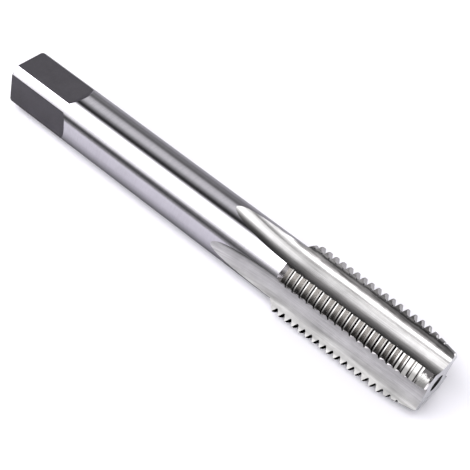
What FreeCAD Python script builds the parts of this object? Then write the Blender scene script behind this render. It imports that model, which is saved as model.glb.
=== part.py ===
import FreeCAD, Part
import math
import os

# A straight-flute hand tap for a right-hand metric fine thread, M14 x 1.5, in one piece of steel.
# It lies along +X with the driving square at x = 0 and the cutting tip at x = overall_length.
# One flute faces straight down and one flat of the square with it, as the tap lies on a table.
# The origin is on the axis, in the plane of the square's end face. Lengths in mm, angles in degrees.

V = FreeCAD.Vector
X_AXIS = V(1, 0, 0)
ORIGIN = V(0, 0, 0)

# Overall
overall_length = 95.0
shank_d = 10.95

# Driving square
square_across_flats = 8.95
square_length = 13.35       # flat part, measured along the corner strips
square_run_out = 1.4        # slope behind each flat, at the middle of the flat
end_chamfer = 0.2

# Thread
major_d = 14.1
pitch = 1.5
thread_depth = 0.92
crest_flat = pitch / 8
flank_half_angle = 30.0
threaded_length = 29.4      # at full diameter
collar_chamfer = 1.55       # length of the chamfer behind the thread, in which its first turns start
crest_from_tip = 1.33       # first crest of the land at 135 degrees, behind the tip's face
lead_length = 6.75          # the taper the tap starts cutting with
tip_d = 11.65
tip_chamfer = 0.3

# Flutes. Each has a round bottom and heel, and a flat cutting face on the land that leads into the cut.
flute_count = 4
core_d = 7.5
flute_r = 5.65
flute_corner_r = 1.6        # between the round bottom and the cutting face
flute_turn = 2.45           # how far the deepest line lies toward the cutting face
cutting_edge_angle = 26.9   # from the deepest line to the cutting edge
cutting_face_angle = 27.0   # of the cutting face to the plane through the axis and the deepest line
flute_full_depth_to = 28.6  # measured from the tip
flute_wheel_r = 75.0        # radius of the long run-out toward the shank

# Centre holes the tap is ground between, one in each end
centre_hole_d = 3.35
centre_pilot_d = 1.6
centre_pilot_depth = 2.6
centre_cone_half_angle = 30.0

shank_r = shank_d / 2
major_r = major_d / 2
tip_r = tip_d / 2
core_r = core_d / 2
land_pitch = 360.0 / flute_count
first_land_angle = land_pitch / 2
reference_land_angle = 135.0
clearance = 1.0


def slope(degrees):
    return math.tan(math.radians(degrees))


def turned_blank():
    """The tap as turned: chamfered end, shank, collar, thread outside and lead taper."""
    hole_r = centre_hole_d / 2
    pilot_r = centre_pilot_d / 2
    cone_depth = (hole_r - pilot_r) / slope(centre_cone_half_angle)
    collar_x = overall_length - threaded_length
    lead_x = overall_length - lead_length
    outline = [
        (centre_pilot_depth, 0),
        (centre_pilot_depth - pilot_r * slope(centre_cone_half_angle), pilot_r),
        (cone_depth, pilot_r),
        (0, hole_r),
        (0, shank_r - end_chamfer),
        (end_chamfer, shank_r),
        (collar_x - collar_chamfer, shank_r),
        (collar_x, major_r),
        (lead_x, major_r),
        (overall_length - tip_chamfer, tip_r),
        (overall_length, tip_r - tip_chamfer),
        (overall_length, hole_r),
        (overall_length - cone_depth, pilot_r),
        (overall_length - centre_pilot_depth + pilot_r * slope(centre_cone_half_angle), pilot_r),
        (overall_length - centre_pilot_depth, 0),
    ]
    points = [V(x, 0, r) for x, r in outline]
    face = Part.Face(Part.makePolygon(points + points[:1]))
    return face.revolve(ORIGIN, X_AXIS, 360)


def flat_cutter():
    """The waste above one flat of the square, with the slope it ends in toward the shank."""
    half_width = shank_r + clearance
    flat_z = square_across_flats / 2
    flat_depth = shank_r - flat_z
    rise = flat_depth + clearance
    run = square_run_out * rise / flat_depth
    points = [
        V(-clearance, -half_width, flat_z),
        V(square_length, -half_width, flat_z),
        V(square_length + run, -half_width, flat_z + rise),
        V(-clearance, -half_width, flat_z + rise),
    ]
    face = Part.Face(Part.makePolygon(points + points[:1]))
    return face.extrude(V(0, 2 * half_width, 0))


def flute_profile(x):
    """The section of the waste of a flute whose deepest line is straight above the axis."""
    centre_z = core_r + flute_r
    face = math.radians(cutting_face_angle)
    edge = math.radians(cutting_edge_angle)
    edge_y, edge_z = major_r * math.sin(edge), major_r * math.cos(edge)
    # The corner's centre is one corner radius off the cutting face and inside the round bottom.
    off_face = (centre_z - edge_z) * math.sin(face) + edge_y * math.cos(face)
    corner = math.pi - math.asin((off_face - flute_corner_r) / (flute_r - flute_corner_r)) + face
    corner_y = (flute_r - flute_corner_r) * math.sin(corner)
    corner_z = centre_z + (flute_r - flute_corner_r) * math.cos(corner)

    def on_bottom(angle):
        return V(x, flute_r * math.sin(angle), centre_z + flute_r * math.cos(angle))

    def on_corner(angle):
        y = corner_y + flute_corner_r * math.sin(angle)
        return V(x, y, corner_z + flute_corner_r * math.cos(angle))

    face_from = math.pi / 2 + face
    heel = math.radians(250)
    far = 3.0
    outer = on_corner(face_from) + V(0, math.sin(face), math.cos(face)) * (major_r + far - core_r)
    heel_out = on_bottom(heel) + V(0, 0, far)
    edges = [
        Part.Arc(on_bottom(heel), on_bottom((heel + corner) / 2), on_bottom(corner)).toShape(),
        Part.Arc(on_corner(corner), on_corner((corner + face_from) / 2), on_corner(face_from)).toShape(),
        Part.makeLine(on_corner(face_from), outer),
        Part.makeLine(outer, heel_out),
        Part.makeLine(heel_out, on_bottom(heel)),
    ]
    return Part.Face(Part.Wire(edges))


def flute_cutter():
    """The waste of the flute on top: a straight groove, then the wheel's long run-out."""
    run_out_x = overall_length - flute_full_depth_to
    run_out_angle = 1.35 * math.degrees(math.acos(1 - (shank_r - core_r) / flute_wheel_r))
    profile = flute_profile(run_out_x)
    straight = profile.extrude(V(flute_full_depth_to + clearance, 0, 0))
    run_out = profile.revolve(V(run_out_x, 0, core_r + flute_wheel_r), V(0, 1, 0), run_out_angle)
    cutter = straight.fuse(run_out)
    cutter.rotate(ORIGIN, X_AXIS, -flute_turn)
    return cutter


def thread_comb(land_angle):
    """The waste of all thread grooves over one land: a row of V teeth swept along the thread."""
    root_r = major_r - thread_depth
    flank_run = thread_depth * slope(flank_half_angle)
    root_half = pitch / 2 - crest_flat / 2 - flank_run
    apex_r = major_r + crest_flat / 2 / slope(flank_half_angle)
    sweep_angle = 44.0
    lead_per_degree = pitch / 360.0
    turns_back = math.ceil((threaded_length + collar_chamfer) / pitch) + 1
    first_groove = overall_length - crest_from_tip + pitch / 2
    first_groove += (land_angle - reference_land_angle) * lead_per_degree
    points = []
    for turn in range(-1, turns_back):
        groove_x = first_groove - turn * pitch
        points += [
            V(groove_x + pitch / 2, 0, apex_r),
            V(groove_x + root_half, 0, root_r),
            V(groove_x - root_half, 0, root_r),
        ]
    last_x = points[-1].x + root_half - pitch / 2
    points.append(V(last_x, 0, apex_r))
    points.append(V(last_x, 0, apex_r + clearance))
    points.append(V(points[0].x, 0, apex_r + clearance))
    profile = Part.makePolygon(points + points[:1])
    # The profile stands above the axis (90 degrees); it is swept over the land from one flute to the next.
    back = -sweep_angle / 2
    helix = Part.makeHelix(pitch, lead_per_degree * sweep_angle, root_r)
    # A helix is made about Z from +X; this turns it about X with its start above the axis.
    helix.rotate(ORIGIN, V(0, 1, 0), 90)
    helix.rotate(ORIGIN, X_AXIS, first_angle_of(helix))
    comb = Part.Wire(helix).makePipeShell([profile], True, True)
    comb.translate(V(lead_per_degree * back, 0, 0))
    comb.rotate(ORIGIN, X_AXIS, land_angle - 90 + back)
    return comb


def first_angle_of(helix):
    """How far the start of the helix is turned to come straight above the axis."""
    start = helix.Vertexes[0].Point
    return 90 - math.degrees(math.atan2(start.z, start.y))


tap = turned_blank()
for side in range(4):
    cutter = flat_cutter()
    cutter.rotate(ORIGIN, X_AXIS, side * 90)
    tap = tap.cut(cutter)
for flute in range(flute_count):
    cutter = flute_cutter()
    cutter.rotate(ORIGIN, X_AXIS, flute * land_pitch)
    tap = tap.cut(cutter)
for land in range(flute_count):
    tap = tap.cut(thread_comb(first_land_angle + land * land_pitch))

tap = tap.Solids[0] if len(tap.Solids) == 1 else tap

os.makedirs("parts", exist_ok=True)
tap.exportStep("parts/thread_tap.step")
print("solids", len(tap.Solids), "valid", tap.isValid(), "volume", round(tap.Volume, 1), "faces", len(tap.Faces))
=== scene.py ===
import math

import bpy
from mathutils import Matrix, Vector

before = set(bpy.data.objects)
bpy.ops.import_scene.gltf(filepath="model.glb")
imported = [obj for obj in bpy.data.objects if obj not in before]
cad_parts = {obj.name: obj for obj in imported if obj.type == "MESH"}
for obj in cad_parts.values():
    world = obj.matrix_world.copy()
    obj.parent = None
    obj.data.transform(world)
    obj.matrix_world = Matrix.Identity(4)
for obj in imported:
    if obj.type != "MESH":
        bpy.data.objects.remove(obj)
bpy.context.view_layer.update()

# Lengths in metres, in the part's frame: +X from the driving square to the cutting tip, +Z up.
MM = 0.001
OVERALL = 95.0 * MM
SHANK_R = 5.475 * MM
SQUARE_HALF = 4.475 * MM        # from the axis to a flat
FLAT_HALF = 3.154 * MM          # from a flat's middle line to its edge
SQUARE_END = 14.75 * MM         # of the flats and the slopes behind them
COLLAR_START = 64.05 * MM
COLLAR_END = 65.6 * MM
ROOT_R = 6.13 * MM
TIP_R = 5.825 * MM
LEAD = 6.75 * MM
PITCH = 1.5 * MM
BUMP_HEIGHT = 0.02 * MM         # of the scratches
DEGREE = math.radians(1.0)
WHITE = (1.0, 1.0, 1.0, 1.0)

# Camera, fitted to the photo: a pinhole that looks at a point near the axis. Angles in degrees.
CAMERA_TARGET = Vector((51.862, -0.315, -0.270)) * MM
CAMERA_DISTANCE = 212.817 * MM
CAMERA_AZIMUTH = 28.2267
CAMERA_ELEVATION = 45.8090
CAMERA_ROLL = 15.8614
CAMERA_LENS = 93.406
SENSOR = 36.0
CLIP_START = 0.01
CLIP_END = 20.0


class Nodes:
    """A short way to write a node tree."""

    def __init__(self, tree):
        self.tree = tree
        tree.nodes.clear()

    def add(self, kind, inputs=None, **settings):
        node = self.tree.nodes.new(kind)
        for name, value in settings.items():
            setattr(node, name, value)
        for key, value in (inputs or {}).items():
            self.put(node.inputs[key], value)
        return node

    def put(self, socket, value):
        if isinstance(value, bpy.types.NodeSocket):
            self.tree.links.new(value, socket)
        else:
            socket.default_value = value

    def math(self, operation, a, b=0.0, c=0.0):
        return self.add("ShaderNodeMath", {0: a, 1: b, 2: c}, operation=operation).outputs[0]

    def mix(self, factor, a, b, blend="MIX"):
        node = self.add("ShaderNodeMix", data_type="RGBA", blend_type=blend)
        self.put(node.inputs[0], factor)
        self.put(node.inputs[6], a)
        self.put(node.inputs[7], b)
        return node.outputs[2]

    def multiply(self, a, b):
        """Two shades, one times the other."""
        return self.mix(1.0, a, b, "MULTIPLY")

    def combine(self, x, y, z):
        return self.add("ShaderNodeCombineXYZ", {0: x, 1: y, 2: z}).outputs[0]

    def split(self, vector):
        return self.add("ShaderNodeSeparateXYZ", {0: vector}).outputs

    def place(self):
        """The place on the tap, in metres."""
        return self.add("ShaderNodeTexCoord").outputs["Object"]

    def radius(self, xyz):
        """The distance from the tap's axis."""
        y_squared = self.math("POWER", xyz[1], 2.0)
        z_squared = self.math("POWER", xyz[2], 2.0)
        return self.math("SQRT", self.math("ADD", y_squared, z_squared))

    def noise(self, vector, scale, detail=3.0, roughness=0.6):
        inputs = {"Vector": vector, "Scale": scale, "Detail": detail, "Roughness": roughness}
        return self.add("ShaderNodeTexNoise", inputs).outputs[0]

    def bump(self, height, strength):
        inputs = {"Height": height, "Strength": strength, "Distance": BUMP_HEIGHT}
        return self.add("ShaderNodeBump", inputs).outputs[0]

    def ramp(self, value, stops):
        """A value from 0 to 1 looked up in (place, shade) pairs, where a shade is a number or a colour."""
        node = self.add("ShaderNodeValToRGB", {0: value})
        elements = node.color_ramp.elements
        while len(elements) < len(stops):
            elements.new(0.5)
        for element, (place, shade) in zip(elements, stops):
            element.position = place
            if isinstance(shade, (int, float)):
                shade = (shade, shade, shade)
            element.color = (*shade, 1.0)
        return node.outputs[0]

    def curve(self, value, low, high, stops, unit=1.0):
        """A ramp over the values from low to high, in which low, high and the stops are in the unit given."""
        span = high - low
        share = self.math("MULTIPLY_ADD", value, 1 / (unit * span), -low / span)
        return self.ramp(share, [((place - low) / span, shade) for place, shade in stops])


def new_material(name):
    material = bpy.data.materials.new(name)
    material.use_nodes = True
    return material, Nodes(material.node_tree)


# Steel: how much its scratches count in its shade beside the wide clouds, the stretch of that noise which
# goes from the lowest shade to the highest, how far the scratches vary its gloss, and its colour where dull.
SCRATCH_SHARE = 0.7
CLOUD_SCALE = 260.0
NOISE_LOW = 0.36
NOISE_HIGH = 0.64
GLOSS_SPREAD = 0.10
DULL_STEEL = (0.035, 0.033, 0.034, 1.0)
# The scratches on a cutting face lean: this much nearer to the axis for each length toward the tip.
FACE_LEAN = 0.06

# The lands' front, from here to the tip: dull by the heel and half as dull by the cutting edge. The curve is
# by the degrees past a line just before the heel, to which a ragged border adds half its width on average.
DULL_FROM = 93.0 * MM
LAND_PITCH = 90.0
HEEL_LINE = 28.0
RAGGED_BORDER = 16.0
DULL_ACROSS = [(19.5, 1.0), (22.8, 0.0), (29.4, 0.0), (34.2, 0.5)]
# The scratches there run across the land at a slant: their turn in radians and their scale.
SCRATCH_TURN = (0.0, 0.9, 0.7)
SCRATCH_SCALE = (9000.0, 700.0, 700.0)
LEAD_SCRATCHES = [(0.54, 0.0), (0.66, 0.75)]
# The trace of the groove nearest the tip: its place on the land at 135 degrees, its width and its reach.
LAST_GROOVE = 92.45 * MM
LAST_GROOVE_LAND = 135.0
TRACE_WIDTH = 0.25 * MM
TRACE_REACH = 0.7 * MM

# How much of its shade a flute's wall keeps, by its slope: 0 at the bottom, and 1 where it stands upright at
# the heel or, for the corner, at the cutting face. This is painted shade: above the axis the walls darken
# toward the heel, and in the run-out also toward the corner. Above the axis the straight part and the run-out
# differ, and one goes over into the other between these lengths in mm. Below the axis one curve does for
# both, which darkens only the curl of the heel.
STRAIGHT_HEEL = [(0.05, 1.0), (0.41, 0.62), (0.71, 0.40), (0.88, 0.28), (1.0, 0.26)]
RUN_OUT_HEEL = [(0.0, 1.0), (0.15, 0.60), (0.41, 0.24), (0.80, 0.14)]
RUN_OUT_CORNER = [(0.30, 1.0), (0.60, 0.46)]
RUN_OUT_TO = [(57, 1.0), (70, 0.0)]
HEEL_BELOW = [(0.90, 1.0), (0.94, 0.60), (0.97, 0.45)]
# What counts as above the axis, by the height in mm.
ABOVE_AXIS = [(0.0, 0.0), (2.0, 1.0)]

# How much of its shade a cutting face keeps, along the tap and out from the axis, in mm. The second curve
# darkens the face by the thread's roots, a painted shadow there, and its ragged border adds half its width on
# average to the radius.
CUTTING_ALONG = [(66, 1.0), (75, 0.85), (83, 0.55), (93, 0.38)]
CUTTING_OUT = [(5.2, 1.0), (5.6, 0.62), (6.02, 0.62), (6.22, 0.20), (6.40, 0.20), (6.60, 0.62)]
ROOT_SHADOW_BORDER = 0.5 * MM


def grinding(n, direction, grain):
    """Fine scratches over coarser ones, as a noise.

    direction is "round" for marks round the axis, "along" for marks along it, and "face" for marks along a
    cutting face. Each noise is stretched by two scales, one for x and one round or out from the axis, and the
    coarse one is read apart from the fine one.
    """
    xyz = n.split(n.place())
    angle = n.math("ARCTAN2", xyz[2], xyz[1])
    if direction == "round":
        across = angle
        scales = [(grain, 1.5), (0.3 * grain, 2.5)]
    elif direction == "along":
        across = n.math("MULTIPLY", angle, SHANK_R)
        scales = [(90.0, grain), (130.0, 0.28 * grain)]
    else:
        across = n.math("MULTIPLY_ADD", xyz[0], FACE_LEAN, n.radius(xyz))
        scales = [(350.0, grain), (160.0, 0.4 * grain)]
    fine, coarse = [
        n.combine(n.math("MULTIPLY", xyz[0], by_x), n.math("MULTIPLY", across, by_across), apart)
        for (by_x, by_across), apart in zip(scales, (0.0, 7.0))
    ]
    half_fine = n.math("MULTIPLY", n.noise(fine, 1.0, roughness=0.65), 0.5)
    return n.math("MULTIPLY_ADD", n.noise(coarse, 1.0), 0.5, half_fine)


def blur_direction(n, direction):
    """Reflections smear square to the marks: along the axis for marks round it, across for marks along it."""
    axis = n.combine(1.0, 0.0, 0.0)
    if direction == "round":
        return axis
    normal = n.add("ShaderNodeNewGeometry").outputs["Normal"]
    across = n.add("ShaderNodeVectorMath", {0: normal, 1: axis}, operation="CROSS_PRODUCT")
    return across.outputs[0]


def lead_wear(n):
    """Where the lands are dull in front: by the heel, in scratches, and in the trace of the last groove."""
    place = n.place()
    xyz = n.split(place)
    in_front = n.math("GREATER_THAN", xyz[0], DULL_FROM)
    degrees = n.math("DEGREES", n.math("ARCTAN2", xyz[2], xyz[1]))
    past_heel = n.math("FLOORED_MODULO", n.math("SUBTRACT", degrees, HEEL_LINE), LAND_PITCH)
    past_heel = n.math("MULTIPLY_ADD", n.noise(place, 1500.0), RAGGED_BORDER, past_heel)
    by_heel = n.math("MULTIPLY", n.curve(past_heel, 0, 60, DULL_ACROSS), in_front)
    turned = n.add("ShaderNodeMapping", {0: place, "Rotation": SCRATCH_TURN, "Scale": SCRATCH_SCALE})
    scratches = n.ramp(n.noise(turned.outputs[0], 1.0, detail=2.0, roughness=0.5), LEAD_SCRATCHES)
    scratches = n.math("MULTIPLY", scratches, in_front)
    from_land = n.math("SUBTRACT", degrees, LAST_GROOVE_LAND)
    on_thread = n.math("MULTIPLY_ADD", from_land, -PITCH / 360.0, xyz[0])
    past_groove = n.math("FLOORED_MODULO", n.math("SUBTRACT", on_thread, LAST_GROOVE), PITCH)
    trace = n.math("LESS_THAN", past_groove, TRACE_WIDTH)
    trace = n.math("MULTIPLY", trace, n.math("GREATER_THAN", xyz[0], LAST_GROOVE - TRACE_REACH))
    trace = n.math("MULTIPLY", trace, n.math("LESS_THAN", xyz[0], LAST_GROOVE + TRACE_REACH))
    return n.math("MAXIMUM", n.math("MAXIMUM", by_heel, trace), scratches)


def painted_heel_shade(n):
    """A painted shade on a flute's wall: how much of its colour the wall keeps, by the slope of the wall."""
    texture = n.add("ShaderNodeTexCoord").outputs
    xyz = n.split(texture["Object"])
    normal = n.split(texture["Normal"])
    turning = n.math("MULTIPLY", normal[2], xyz[1])
    turning = n.math("SUBTRACT", n.math("MULTIPLY", normal[1], xyz[2]), turning)
    to_heel = n.math("DIVIDE", turning, n.radius(xyz))
    to_corner = n.math("MULTIPLY", to_heel, -1.0)
    run_out = n.multiply(n.ramp(to_heel, RUN_OUT_HEEL), n.ramp(to_corner, RUN_OUT_CORNER))
    in_run_out = n.curve(xyz[0], 0, 100, RUN_OUT_TO, MM)
    above_axis = n.mix(in_run_out, n.ramp(to_heel, STRAIGHT_HEEL), run_out)
    height = n.curve(xyz[2], -2.5, 2.5, ABOVE_AXIS, MM)
    return n.mix(height, n.ramp(to_heel, HEEL_BELOW), above_axis)


def cutting_face_darkening(n):
    """How much of its colour a cutting face keeps: less toward the tip, and little by the thread's roots, a
    painted shadow there.
    """
    place = n.place()
    xyz = n.split(place)
    ragged_r = n.math("MULTIPLY_ADD", n.noise(place, 900.0), ROOT_SHADOW_BORDER, n.radius(xyz))
    along = n.curve(xyz[0], 0, 100, CUTTING_ALONG, MM)
    return n.multiply(along, n.curve(ragged_r, 0, 10, CUTTING_OUT, MM))


def steel(name, colour, roughness, direction="round", grain=9000.0, bump=0.10, streak=0.12, anisotropic=0.0,
          edge=1.0, painted_shade=None, dull=None):
    """Ground steel: a metal with fine scratches one way, which vary its shade, gloss and surface.

    The kept shade is a painted shade, how much of its colour the steel keeps from place to place, and dull is
    where it is dull.
    """
    material, n = new_material(name)
    scratches = grinding(n, direction, grain)
    clouds = n.noise(n.place(), CLOUD_SCALE)
    low = [c * (1 - streak) for c in colour]
    high = [min(1.0, c * (1 + streak)) for c in colour]
    shade = n.math("MULTIPLY", clouds, 1 - SCRATCH_SHARE)
    shade = n.math("MULTIPLY_ADD", scratches, SCRATCH_SHARE, shade)
    base = n.ramp(shade, [(NOISE_LOW, low), (NOISE_HIGH, high)])
    if dull:
        base = n.mix(dull(n), base, DULL_STEEL)
    if painted_shade:
        base = n.multiply(base, painted_shade(n))
    inputs = {
        "Base Color": base,
        "Metallic": 1.0,
        "Roughness": n.math("MULTIPLY_ADD", scratches, GLOSS_SPREAD, roughness - GLOSS_SPREAD / 2),
        "Anisotropic": anisotropic,
        "Specular Tint": (edge, edge, edge, 1.0),
        "Normal": n.bump(scratches, bump),
    }
    if anisotropic:
        inputs["Tangent"] = blur_direction(n, direction)
    surface = n.add("ShaderNodeBsdfPrincipled", inputs)
    n.add("ShaderNodeOutputMaterial", {0: surface.outputs[0]})
    return material


# The flats: a dark speckle over wider clouds, and darker still in a narrow strip along their sides and end.
SPECKLE_SHARE = 0.55
FLAT_SHADES = [(0.3, (0.040, 0.037, 0.044)), (0.7, (0.066, 0.061, 0.072))]
FLAT_EDGE = (0.012, 0.011, 0.013, 1.0)
EDGE_SHARE = 0.6
SIDE_STRIP = 0.17 * MM
END_STRIP = 0.16 * MM


def blackened(name):
    """The flats of the square: left dark and matt by the heat treatment."""
    material, n = new_material(name)
    place = n.place()
    xyz = n.split(place)
    speckle = n.noise(place, 5200.0, roughness=0.7)
    clouds = n.noise(place, 330.0, detail=4.0)
    shade = n.math("MULTIPLY", clouds, 1 - SPECKLE_SHARE)
    shade = n.math("MULTIPLY_ADD", speckle, SPECKLE_SHARE, shade)
    from_middle = n.math("MINIMUM", n.math("ABSOLUTE", xyz[1]), n.math("ABSOLUTE", xyz[2]))
    by_side = n.math("GREATER_THAN", from_middle, FLAT_HALF - SIDE_STRIP)
    by_end = n.math("LESS_THAN", xyz[0], END_STRIP)
    by_edge = n.math("MULTIPLY", n.math("MAXIMUM", by_side, by_end), EDGE_SHARE)
    inputs = {
        "Base Color": n.mix(by_edge, n.ramp(shade, FLAT_SHADES), FLAT_EDGE),
        "Metallic": 0.25,
        "Roughness": 0.62,
        "Normal": n.bump(speckle, 0.25),
    }
    surface = n.add("ShaderNodeBsdfPrincipled", inputs)
    n.add("ShaderNodeOutputMaterial", {0: surface.outputs[0]})
    return material


FINISHES = {
    "shank": steel("shank_steel", (0.60, 0.583, 0.63), 0.13, bump=0.05, streak=0.08, anisotropic=0.5),
    # The flute's walls carry a painted shade, darker toward the heels.
    "flute": steel("flute_steel", (0.58, 0.570, 0.572), 0.29, "along", bump=0.15, streak=0.30,
                   anisotropic=0.8, edge=0.1, painted_shade=painted_heel_shade),
    "land": steel("land_steel", (0.31, 0.303, 0.301), 0.15, dull=lead_wear),
    "root": steel("root_steel", (0.16, 0.155, 0.152), 0.14),
    # The thread's flanks are one steel in a lit and a shaded copy: painted light on those that face the tip,
    # painted shade on those that face the square.
    "lit_flank": steel("front_flank_steel", (0.85, 0.83, 0.81), 0.14, streak=0.10),
    "shaded_flank": steel("rear_flank_steel", (0.12, 0.115, 0.112), 0.12, streak=0.15, edge=0.02),
    # The cutting faces are darker toward the tip, and darkest in a painted shadow by the thread's roots.
    "cutting": steel("cutting_steel", (0.50, 0.483, 0.488), 0.40, "face", 3200.0, bump=0.25, streak=0.75,
                     painted_shade=cutting_face_darkening),
    "face": steel("face_steel", (0.60, 0.60, 0.62), 0.25, grain=6000.0, streak=0.15),
    # The centre hole and its chamfer are painted near black, a painted shade in the hole.
    "dark": steel("painted_hole_shade", (0.02, 0.02, 0.02), 0.45, grain=6000.0, streak=0.25),
    "flat": blackened("flat_black"),
}

# Where the regions of the tap lie. What is nearer to the axis than the last of these counts as on it.
NEAR = 0.05 * MM
HOLE_DEPTH = 2.7 * MM
HOLE_R = 1.9 * MM
SHANK_FROM_R = SHANK_R - 0.06 * MM
TIP_CHAMFER = 0.35 * MM
FLANKS_FROM_R = 5.2 * MM
LANDS_FROM_R = TIP_R - 0.1 * MM
ROOTS_TO_R = ROOT_R + 0.1 * MM
BEHIND_SQUARE = SQUARE_END + 2.0 * MM
LOW_LANDS_TO_Z = -3.0 * MM
ON_AXIS = 1e-9
# How they face: the share of the normal along the axis, out from it and round it.
END_ALONG = 0.98
FLAT_ALONG = 0.01
FLAT_OUT = 0.999
SHANK_OUT = 0.98
COLLAR_ALONG = (-0.8, -0.6)
TIP_CHAMFER_ALONG = 0.5
FLANK_ALONG = 0.3
LAND_OUT = 0.96
CUTTING_ROUND = 0.97


def region(polygon):
    """The finish of one face of the tap, by where it lies and how it faces."""
    c, normal = polygon.center, polygon.normal
    r = max(math.hypot(c.y, c.z), ON_AXIS)
    out = (normal.y * c.y + normal.z * c.z) / r
    round_axis = (normal.z * c.y - normal.y * c.z) / r
    from_end = min(c.x, OVERALL - c.x)
    if abs(normal.x) > END_ALONG and from_end < NEAR:
        return "face"
    in_square = c.x < SQUARE_END and max(abs(c.y), abs(c.z)) < SQUARE_HALF + NEAR
    if in_square and abs(normal.x) < FLAT_ALONG and max(abs(normal.y), abs(normal.z)) > FLAT_OUT:
        return "flat"
    # The centre hole gets the near black finish, a painted shade.
    if from_end < HOLE_DEPTH and r < HOLE_R:
        return "dark"
    on_thread = c.x > COLLAR_START
    if c.x < COLLAR_START and r > SHANK_FROM_R and out > SHANK_OUT:
        return "shank"
    # The collar's chamfer and the one at the tip get the bright flank finish, a painted light.
    if on_thread and c.x < COLLAR_END and COLLAR_ALONG[0] < normal.x < COLLAR_ALONG[1]:
        return "lit_flank"
    if c.x > OVERALL - TIP_CHAMFER and normal.x > TIP_CHAMFER_ALONG:
        return "lit_flank"
    # The grooves of the low lands get the dark flank finish on both sides, a painted shade.
    if on_thread and r > FLANKS_FROM_R and abs(normal.x) > FLANK_ALONG:
        return "lit_flank" if normal.x > 0 and c.z > LOW_LANDS_TO_Z else "shaded_flank"
    if on_thread and r > LANDS_FROM_R and out > LAND_OUT:
        return "root" if r < ROOTS_TO_R and c.x < OVERALL - LEAD else "land"
    if c.x < BEHIND_SQUARE:
        return "shank"
    return "cutting" if round_axis > CUTTING_ROUND else "flute"


# The tap itself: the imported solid, smooth over its curved faces, with each region in its own finish.
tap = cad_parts["thread_tap"]
tap.data.materials.clear()
for finish in FINISHES.values():
    tap.data.materials.append(finish)
slots = {name: slot for slot, name in enumerate(FINISHES)}
for polygon in tap.data.polygons:
    polygon.use_smooth = True
    polygon.material_index = slots[region(polygon)]

# The tap rests on its shank, just behind the square, and on the two lands beside the flute that faces down.
UNDER_SHANK = Vector((SQUARE_END, 0.234 * MM, -5.470 * MM))
UNDER_LANDS = [
    Vector((COLLAR_END, -3.461 * MM, -6.142 * MM)),
    Vector((COLLAR_END, 3.973 * MM, -5.824 * MM)),
]
FLOOR_SIZE = 3.0
FLOOR_GAP = 0.01 * MM
PAPER = (0.855, 0.84, 0.90, 1.0)
# How much of the paper metal sees, by its place across the tap in mm: least under the tap, where this is a
# painted shadow, and less behind it than in front, a painted shade. Beyond the tip it sees all of it.
PAPER_REACH = 500
PAPER_ACROSS = [
    (-400, 0.60), (-200, 0.72), (-90, 0.78), (-60, 0.81), (-40, 0.78), (-16, 0.74), (-12, 0.71), (-9.5, 0.62),
    (-8, 0.51), (-5.1, 0.48), (-3.8, 0.12), (3.5, 0.12), (12, 0.36), (20, 0.38), (40, 0.32), (115, 0.24),
    (400, 0.20),
]
PAPER_BEYOND_TIP = [(90, 0.0), (97, 0.95), (110, 1.0)]
# The paper's own light makes it the white ground of a picture.
GLOW_FOR_METAL = 0.08
GLOW_FOR_CAMERA = 0.05


def white_paper():
    """The paper that the tap lies on."""
    material, n = new_material("paper")
    light_path = n.add("ShaderNodeLightPath").outputs
    xyz = n.split(n.add("ShaderNodeNewGeometry").outputs["Position"])
    across = n.curve(xyz[1], -PAPER_REACH, PAPER_REACH, PAPER_ACROSS, MM)
    beyond_tip = n.curve(xyz[0], -PAPER_REACH, PAPER_REACH, PAPER_BEYOND_TIP, MM)
    # Metal sees the paper darker under and behind the tap: painted shadow and shade in its reflections.
    paper_shade_for_metal = n.math("MAXIMUM", across, beyond_tip)
    colour = n.multiply(PAPER, n.mix(light_path["Is Glossy Ray"], WHITE, paper_shade_for_metal))
    diffuse = n.add("ShaderNodeBsdfDiffuse", {"Color": colour})
    glow = n.math("MULTIPLY", light_path["Is Glossy Ray"], n.math("MULTIPLY", paper_shade_for_metal, GLOW_FOR_METAL))
    glow = n.math("MULTIPLY_ADD", light_path["Is Camera Ray"], GLOW_FOR_CAMERA, glow)
    emission = n.add("ShaderNodeEmission", {"Color": WHITE, "Strength": glow})
    both = n.add("ShaderNodeAddShader", {0: diffuse.outputs[0], 1: emission.outputs[0]})
    n.add("ShaderNodeOutputMaterial", {0: both.outputs[0]})
    return material


floor_up = (UNDER_LANDS[0] - UNDER_SHANK).cross(UNDER_LANDS[1] - UNDER_SHANK).normalized()
bpy.ops.mesh.primitive_plane_add(size=FLOOR_SIZE, location=UNDER_SHANK - FLOOR_GAP * floor_up,
                                 rotation=floor_up.to_track_quat("Z", "Y").to_euler())
floor = bpy.context.object
floor.name = "floor"
floor.data.materials.append(white_paper())

# The studio: a dark room with soft boxes parallel to the tap. The first curve of each is its strength by the
# angle round the tap's axis in degrees, from straight up, with the camera's side positive. The second is how
# much of it there is along the tap, by the direction's x.
BRIGHTEST = 5.0
# The large ones over the tap, from the far side to the camera's.
OVERHEAD = [
    (-90, 0.28), (-76, 0.27), (-66, 0.17), (-58, 0.24), (-50, 0.62), (-42, 0.77), (-35, 0.83), (-28, 0.85),
    (-21, 0.70), (-15, 0.44), (-9, 0.20), (-3, 0.03), (3, 0.015), (7, 0.18), (10, 0.8), (14, 1.8), (18, 3.2),
    (26, 5.0), (46, 5.0), (54, 3.0), (60, 1.6), (65, 1.15), (71, 0.38), (76, 0.10), (82, 0.08), (88, 0.34),
    (90, 0.44),
]
OVERHEAD_ENDS = [
    (-1.0, 0.12), (-0.90, 0.15), (-0.80, 0.6), (-0.68, 1.0), (0.08, 1.0), (0.28, 0.9), (0.42, 0.3),
    (0.5, 0.06), (0.60, 0.32), (0.83, 0.32), (0.91, 0.05), (1.0, 0.03),
]
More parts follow.
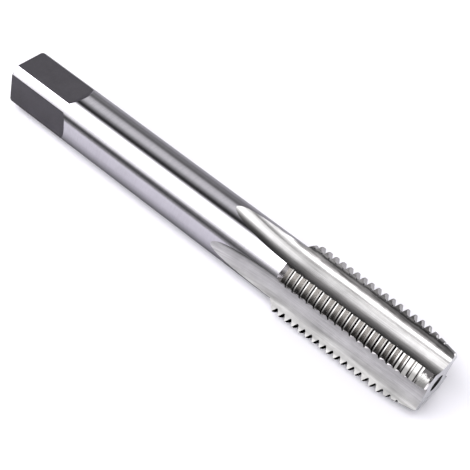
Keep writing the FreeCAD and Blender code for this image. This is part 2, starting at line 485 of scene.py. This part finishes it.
# A smaller one behind the tap, toward its tip.
BEHIND = [(-62, 0.0), (-54, 0.6), (-46, 2.1), (-24, 2.2), (-12, 0.0)]
BEHIND_ENDS = [(-0.30, 0.0), (-0.20, 0.5), (-0.08, 1.0), (0.15, 1.0), (0.32, 0.0)]
# And a low one in front, beside the tip.
BESIDE = [(60, 0.0), (70, 1.2), (90, 1.5)]
BESIDE_ENDS = [(0.02, 0.0), (0.12, 1.0), (0.40, 1.0), (0.50, 0.0)]


def soft_box(n, angle, x, across, along):
    """The light of one box, as a share of the brightest."""
    shares = [(degrees, strength / BRIGHTEST) for degrees, strength in across]
    return n.multiply(n.curve(angle, -180, 180, shares, DEGREE), n.curve(x, -1, 1, along))


def studio():
    """The room that lights the tap. The camera sees white instead of it."""
    world = bpy.data.worlds.new("studio")
    world.use_nodes = True
    n = Nodes(world.node_tree)
    xyz = n.split(n.add("ShaderNodeTexCoord").outputs["Generated"])
    angle = n.math("ARCTAN2", n.math("MULTIPLY", xyz[1], -1.0), xyz[2])
    boxes = soft_box(n, angle, xyz[0], OVERHEAD, OVERHEAD_ENDS)
    for across, along in ((BEHIND, BEHIND_ENDS), (BESIDE, BESIDE_ENDS)):
        boxes = n.mix(1.0, boxes, soft_box(n, angle, xyz[0], across, along), "ADD")
    lit = n.add("ShaderNodeBackground", {"Color": boxes, "Strength": BRIGHTEST})
    white = n.add("ShaderNodeBackground", {"Color": WHITE, "Strength": 1.0})
    by_camera = n.add("ShaderNodeLightPath").outputs["Is Camera Ray"]
    pick = n.add("ShaderNodeMixShader", {0: by_camera, 1: lit.outputs[0], 2: white.outputs[0]})
    n.add("ShaderNodeOutputWorld", {0: pick.outputs[0]})
    return world


bpy.context.scene.world = studio()

# Camera
azimuth, elevation = math.radians(CAMERA_AZIMUTH), math.radians(CAMERA_ELEVATION)
back = Vector((
    math.sin(azimuth) * math.cos(elevation),
    -math.cos(azimuth) * math.cos(elevation),
    math.sin(elevation),
))
camera_data = bpy.data.cameras.new("camera")
camera_data.sensor_width = SENSOR
camera_data.lens = CAMERA_LENS
camera_data.clip_start = CLIP_START
camera_data.clip_end = CLIP_END
camera = bpy.data.objects.new("camera", camera_data)
bpy.context.scene.collection.objects.link(camera)
aim = (-back).to_track_quat("-Z", "Y").to_matrix().to_4x4()
roll = Matrix.Rotation(math.radians(CAMERA_ROLL), 4, "Z")
camera.matrix_world = Matrix.Translation(CAMERA_TARGET + back * CAMERA_DISTANCE) @ aim @ roll
bpy.context.scene.camera = camera

bpy.context.scene.view_settings.view_transform = "Standard"
